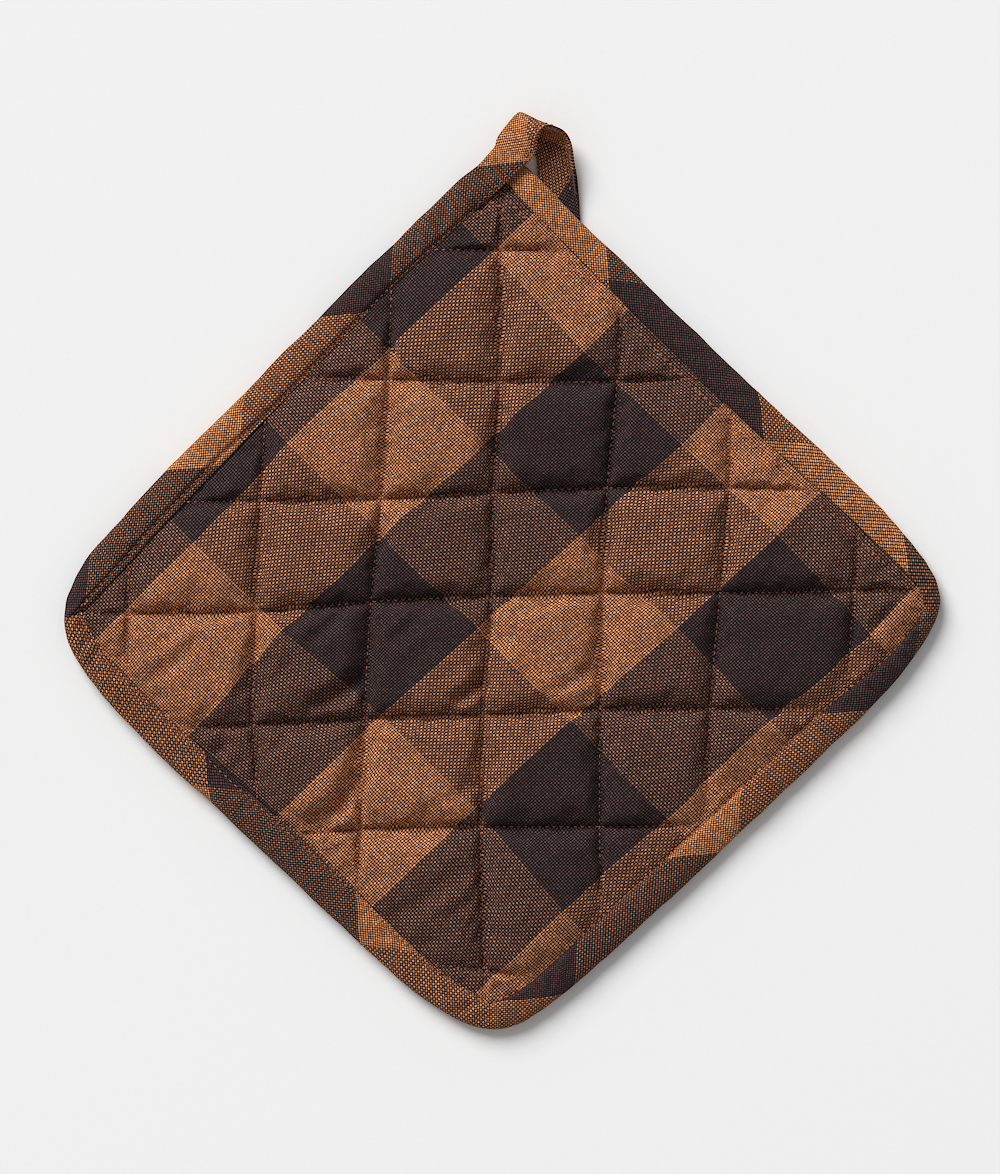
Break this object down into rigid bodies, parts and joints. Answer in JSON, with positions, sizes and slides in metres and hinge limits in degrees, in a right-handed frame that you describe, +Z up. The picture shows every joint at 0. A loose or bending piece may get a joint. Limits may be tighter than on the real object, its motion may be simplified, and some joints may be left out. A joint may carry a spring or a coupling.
{
  "type": "pot holder",
  "caption": "Square quilted cloth pot holder with a bound edge and a hanging loop at its top corner, lying flat.",
  "frame": {"origin": "middle of the outer box in plan, at the table that it lies on", "axes": "+X to the right and +Y towards the loop corner as it lies in the picture, +Z up off the table towards the camera"},
  "size_m": [0.292, 0.306, 0.0104],
  "materials": {
    "quilted_cotton": "plain-weave cotton in a caramel and near-black buffalo check, matt",
    "tape_cotton": "the same checked cotton cut on the bias and folded, matt"
  },
  "bodies": {
    "root": {"quilted_pad": "quilted_cotton", "binding": "tape_cotton", "hanging_loop": "tape_cotton"}
  },
  "joints": []
}
